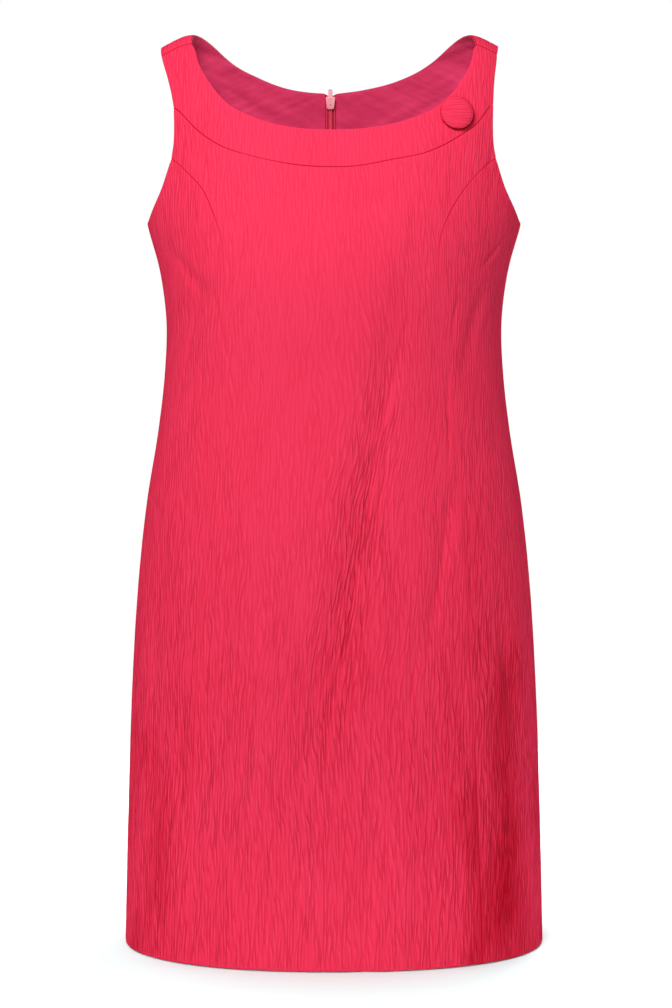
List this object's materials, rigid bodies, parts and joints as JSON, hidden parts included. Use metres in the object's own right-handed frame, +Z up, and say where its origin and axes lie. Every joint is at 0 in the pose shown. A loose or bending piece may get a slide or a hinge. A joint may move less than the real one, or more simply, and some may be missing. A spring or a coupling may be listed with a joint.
{
  "type": "sheath dress with boat neck, yoke, princess seams and back zip",
  "caption": "Sleeveless knee-length sheath dress in crinkled cloth, filled out as worn, with a covered button on its neck yoke and a concealed back zip whose pull tab swings.",
  "frame": {"origin": "midway between the tops of the two shoulders, where the wearer's shoulders hold the dress", "axes": "+Z up, -Y towards the front of the dress, +X towards the wearer's left"},
  "size_m": [0.4212, 0.271, 0.9042],
  "materials": {
    "dress_cloth": "crinkled crepe, matt with a faint sheen",
    "facing_cloth": "smooth satin-back cloth",
    "zip_tape_cloth": "fine woven tape",
    "zip_enamel": "gloss enamel"
  },
  "bodies": {
    "dress": {"front_yoke": "dress_cloth", "centre_front": "dress_cloth", "side_front_right": "dress_cloth", "side_front_left": "dress_cloth", "back_right": "dress_cloth", "back_left": "dress_cloth", "neck_facing_right": "facing_cloth", "neck_facing_left": "facing_cloth", "zip_tape_right": "zip_tape_cloth", "zip_tape_left": "zip_tape_cloth", "zip_slider": "zip_enamel", "covered_button": "dress_cloth"},
    "pull_tab": {"zip_pull": "zip_enamel"}
  },
  "joints": [
    {"name": "pull_hinge", "type": "hinge", "parent": "dress", "child": "pull_tab", "pos_m": [-0.0036, 0.05763, -0.05713], "axis": [1, 0, 0], "range_deg": [0, 120]}
  ]
}
